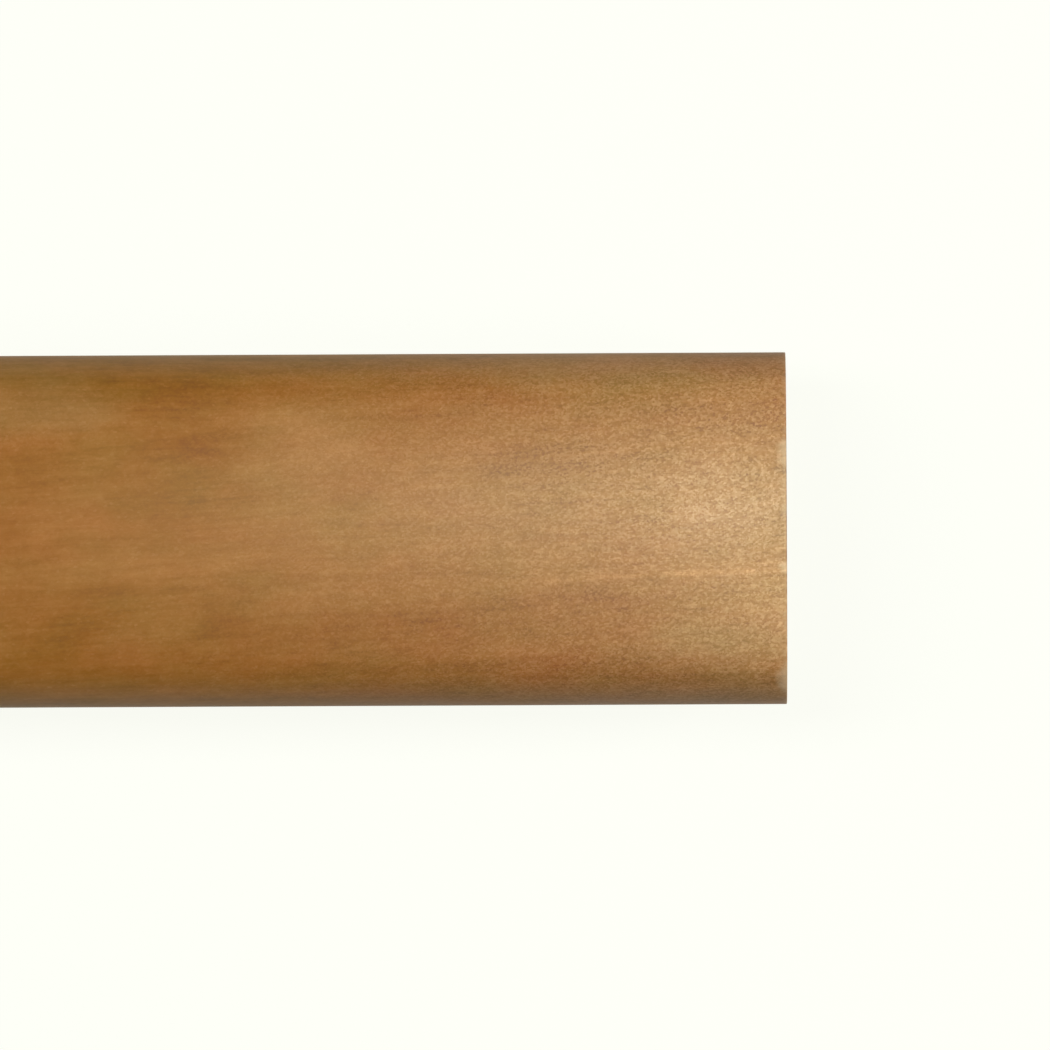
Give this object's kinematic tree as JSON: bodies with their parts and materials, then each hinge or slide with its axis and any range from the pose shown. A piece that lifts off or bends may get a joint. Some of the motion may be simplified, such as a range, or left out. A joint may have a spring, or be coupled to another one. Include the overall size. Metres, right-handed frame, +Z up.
{
  "type": "handrail moulding",
  "caption": "Straight length of solid wood handrail moulding with a shallow crowned top, rounded sides, bevelled lower edges and a flat underside for brackets.",
  "frame": {"origin": "on the flat underside, at the middle of the length and of the width", "axes": "+X along the length, +Y across the width, +Z up from the flat underside to the crown"},
  "size_m": [2.4384, 0.0572, 0.0316],
  "materials": {
    "wood": "satin"
  },
  "bodies": {
    "root": {"handrail": "wood"}
  },
  "joints": []
}
